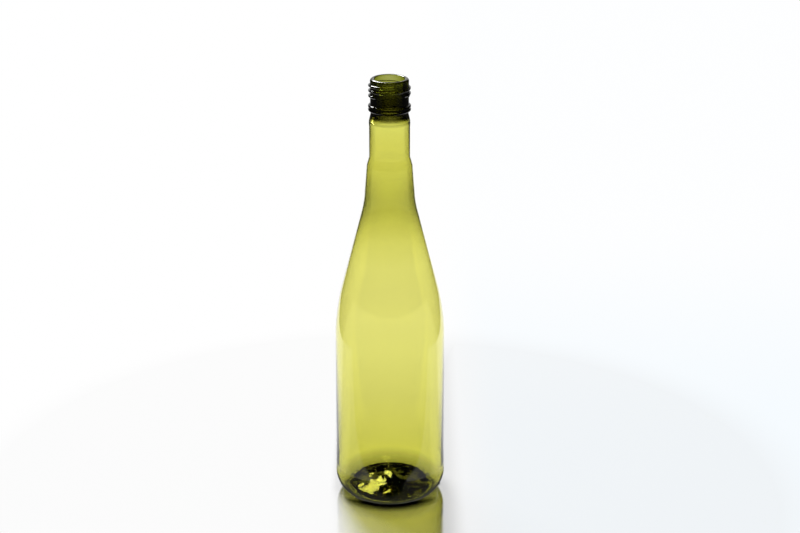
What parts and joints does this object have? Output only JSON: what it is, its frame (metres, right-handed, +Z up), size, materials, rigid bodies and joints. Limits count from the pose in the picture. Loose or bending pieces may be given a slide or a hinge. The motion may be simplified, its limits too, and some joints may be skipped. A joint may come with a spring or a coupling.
{
  "type": "plastic wine bottle",
  "caption": "Empty clear green plastic wine bottle with a long sloping shoulder, a slim neck stepped for a long cap skirt, a screw finish and a pushed-up base.",
  "frame": {"origin": "centre of the standing ring, on the surface that the bottle stands on", "axes": "+Z up along the bottle's axis; a round part, so +X and +Y are free but for the ring's notches, one of which lies on +X"},
  "size_m": [0.0754, 0.0754, 0.295],
  "materials": {
    "clear_plastic": "clear yellow-green, glossy"
  },
  "bodies": {
    "root": {"bottle": "clear_plastic"}
  },
  "joints": []
}
